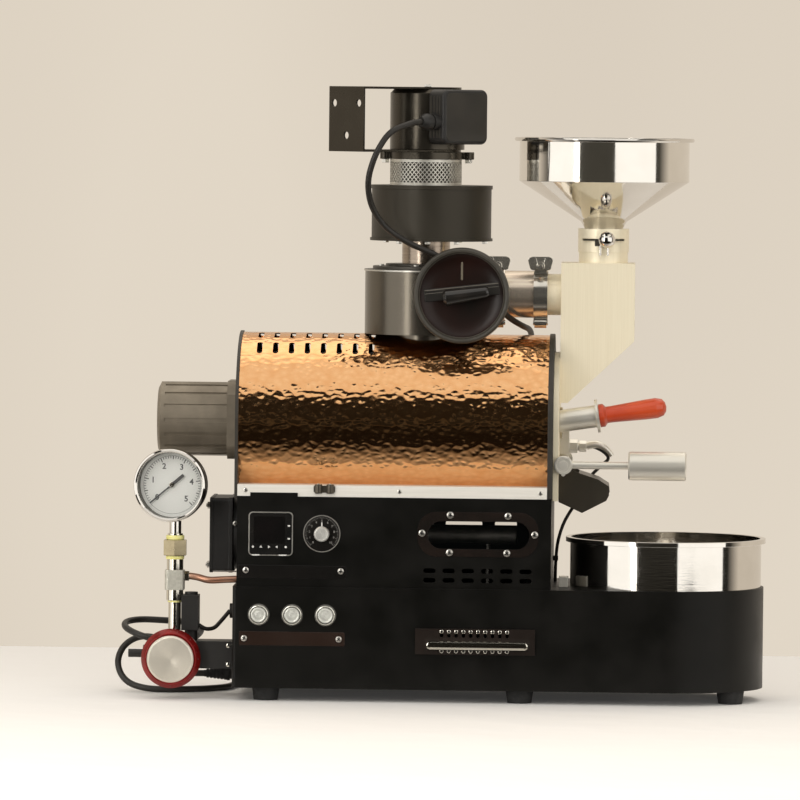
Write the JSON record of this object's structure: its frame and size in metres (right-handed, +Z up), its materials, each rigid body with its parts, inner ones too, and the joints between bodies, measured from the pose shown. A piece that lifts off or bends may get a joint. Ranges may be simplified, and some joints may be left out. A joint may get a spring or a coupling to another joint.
{
  "type": "home coffee bean roaster",
  "caption": "Gas countertop drum coffee roaster: copper-toned drum housing on a black base, funnel hopper and chute, blower tower, gas gauge, discharge lever and round cooling tray.",
  "frame": {"origin": "on the table under the middle of the machine's own box, leaving out the mains lead", "axes": "+Z up, +X towards the cooling tray end, -Y towards the user in front of the panel"},
  "size_m": [0.7072, 0.3417, 0.663],
  "materials": {
    "black_paint": "satin black powder coat",
    "rubber": "matte black",
    "bright_steel": "satin stainless",
    "polished_steel": "polished stainless",
    "copper_sheet": "hammered copper tone",
    "dark_cast": "dark cast plate",
    "bronze_grey": "grey bronze enamel",
    "black_plastic": "moulded black",
    "gloss_black": "glossy black",
    "brass": "nickelled and plain brass",
    "aluminium": "turned aluminium",
    "red_plastic": "glossy red",
    "glass": "clear",
    "cable": "black cable jacket",
    "dark_steel": "dark blackened steel",
    "nickel": "nickel plate"
  },
  "bodies": {
    "machine": {"base_shell": "black_paint", "rubber_feet": "rubber", "burner_box": "black_paint", "gas_burners": "dark_steel", "saddle_strip": "polished_steel", "drum_cover": "copper_sheet", "drum_end_plates": "dark_cast", "face_plate": "bright_steel", "drum_bearings": "bright_steel", "drum_motor": "bronze_grey", "side_fan_frame": "black_plastic", "canister": "black_paint", "canister_lid": "bright_steel", "blower_housing": "black_paint", "blower_guard": "nickel", "blower_motor": "black_paint", "blower_bracket": "black_paint", "terminal_box": "black_plastic", "exhaust_duct": "bright_steel", "duct_clamps": "polished_steel", "feed_chute": "bright_steel", "discharge_spout": "dark_steel", "face_fittings": "bright_steel", "bean_probe": "nickel", "wiring_leads": "cable", "gas_fittings": "brass", "gas_valves": "black_plastic", "gauge_case": "polished_steel", "window_frame": "gloss_black", "glass_panes": "glass", "label_plates": "gloss_black", "heat_controller": "gloss_black", "panel_controls": "aluminium", "stirrer_motor": "dark_steel", "screws": "polished_steel", "power_cord": "cable", "cord_coil": "cable", "mains_plug": "black_plastic"},
    "drum": {"roasting_drum": "dark_steel"},
    "side_fan": {"side_fan_rotor": "black_plastic"},
    "impeller": {"blower_impeller": "aluminium"},
    "hopper": {"bean_hopper": "polished_steel"},
    "gate": {"hopper_gate": "polished_steel"},
    "wheel": {"handwheel": "black_plastic", "throttle_plate": "bright_steel"},
    "wheel_grip": {"wheel_handle": "gloss_black"},
    "lever": {"discharge_lever": "bright_steel"},
    "trier": {"trier_scoop": "bright_steel", "trier_handle": "red_plastic"},
    "drawer": {"chaff_drawer": "gloss_black", "drawer_handle": "polished_steel"},
    "start_key": {"start_button": "aluminium"},
    "cool_key": {"cool_button": "aluminium"},
    "lamp_key": {"lamp_button": "aluminium"},
    "dial": {"dial_knob": "aluminium"},
    "regulator": {"regulator_knob": "aluminium"},
    "needle": {"gauge_needle": "black_plastic"},
    "tray": {"cooling_tray": "polished_steel"},
    "stirrer": {"tray_stirrer": "bright_steel"},
    "tray_fan": {"cooling_fan": "black_plastic"}
  },
  "joints": [
    {"name": "drum_spin", "type": "hinge", "parent": "machine", "child": "drum", "pos_m": [-0.22485, 0.001, 0.298], "axis": [1, 0, 0], "continuous": true},
    {"name": "side_fan_spin", "type": "hinge", "parent": "machine", "child": "side_fan", "pos_m": [-0.22885, 0.001, 0.174], "axis": [1, 0, 0], "continuous": true},
    {"name": "impeller_spin", "type": "hinge", "parent": "machine", "child": "impeller", "pos_m": [-0.02835, 0.001, 0.494], "axis": [0, 0, 1], "continuous": true},
    {"name": "hopper_lift", "type": "slide", "parent": "machine", "child": "hopper", "axis": [0, 0, 1], "range_m": [0, 0.06]},
    {"name": "gate_slide", "type": "slide", "parent": "machine", "child": "gate", "axis": [0, -1, 0], "range_m": [0, 0.042]},
    {"name": "wheel_turn", "type": "hinge", "parent": "machine", "child": "wheel", "pos_m": [0.01315, -0.103, 0.437], "axis": [0, -1, 0], "range_deg": [0, 90]},
    {"name": "grip_fold", "type": "hinge", "parent": "wheel", "child": "wheel_grip", "pos_m": [0.05335, -0.08, 0.44337], "axis": [-0.1564, 0, 0.9877], "range_deg": [0, 90]},
    {"name": "lever_swing", "type": "hinge", "parent": "machine", "child": "lever", "pos_m": [0.12415, -0.103, 0.2564], "axis": [0, -1, 0], "range_deg": [0, 50]},
    {"name": "trier_pull", "type": "slide", "parent": "machine", "child": "trier", "axis": [0.989, 0, 0.1478], "range_m": [0, 0.09]},
    {"name": "drawer_slide", "type": "slide", "parent": "machine", "child": "drawer", "axis": [0, -1, 0], "range_m": [0, 0.15]},
    {"name": "start_press", "type": "slide", "parent": "machine", "child": "start_key", "axis": [0, 1, 0], "range_m": [0, 0.002], "stiffness_N_per_m": 250, "springref_m": -0.002},
    {"name": "cool_press", "type": "slide", "parent": "machine", "child": "cool_key", "axis": [0, 1, 0], "range_m": [0, 0.002], "stiffness_N_per_m": 250, "springref_m": -0.002},
    {"name": "lamp_press", "type": "slide", "parent": "machine", "child": "lamp_key", "axis": [0, 1, 0], "range_m": [0, 0.002], "stiffness_N_per_m": 250, "springref_m": -0.002},
    {"name": "dial_turn", "type": "hinge", "parent": "machine", "child": "dial", "pos_m": [-0.13355, -0.103, 0.1805], "axis": [0, 1, 0], "range_deg": [0, 270]},
    {"name": "regulator_turn", "type": "hinge", "parent": "machine", "child": "regulator", "pos_m": [-0.29485, -0.103, 0.044], "axis": [0, 1, 0], "range_deg": [0, 330]},
    {"name": "needle_swing", "type": "hinge", "parent": "machine", "child": "needle", "pos_m": [-0.29585, -0.051, 0.229], "axis": [0.1392, 0.9903, 0], "range_deg": [0, 264]},
    {"name": "tray_lift", "type": "slide", "parent": "machine", "child": "tray", "axis": [0, 0, 1], "range_m": [0, 0.024]},
    {"name": "stirrer_spin", "type": "hinge", "parent": "tray", "child": "stirrer", "pos_m": [0.23465, 0.001, 0.13], "axis": [0, 0, 1], "continuous": true},
    {"name": "tray_fan_spin", "type": "hinge", "parent": "machine", "child": "tray_fan", "pos_m": [0.23465, 0.001, 0.05], "axis": [0, 0, 1], "continuous": true}
  ]
}
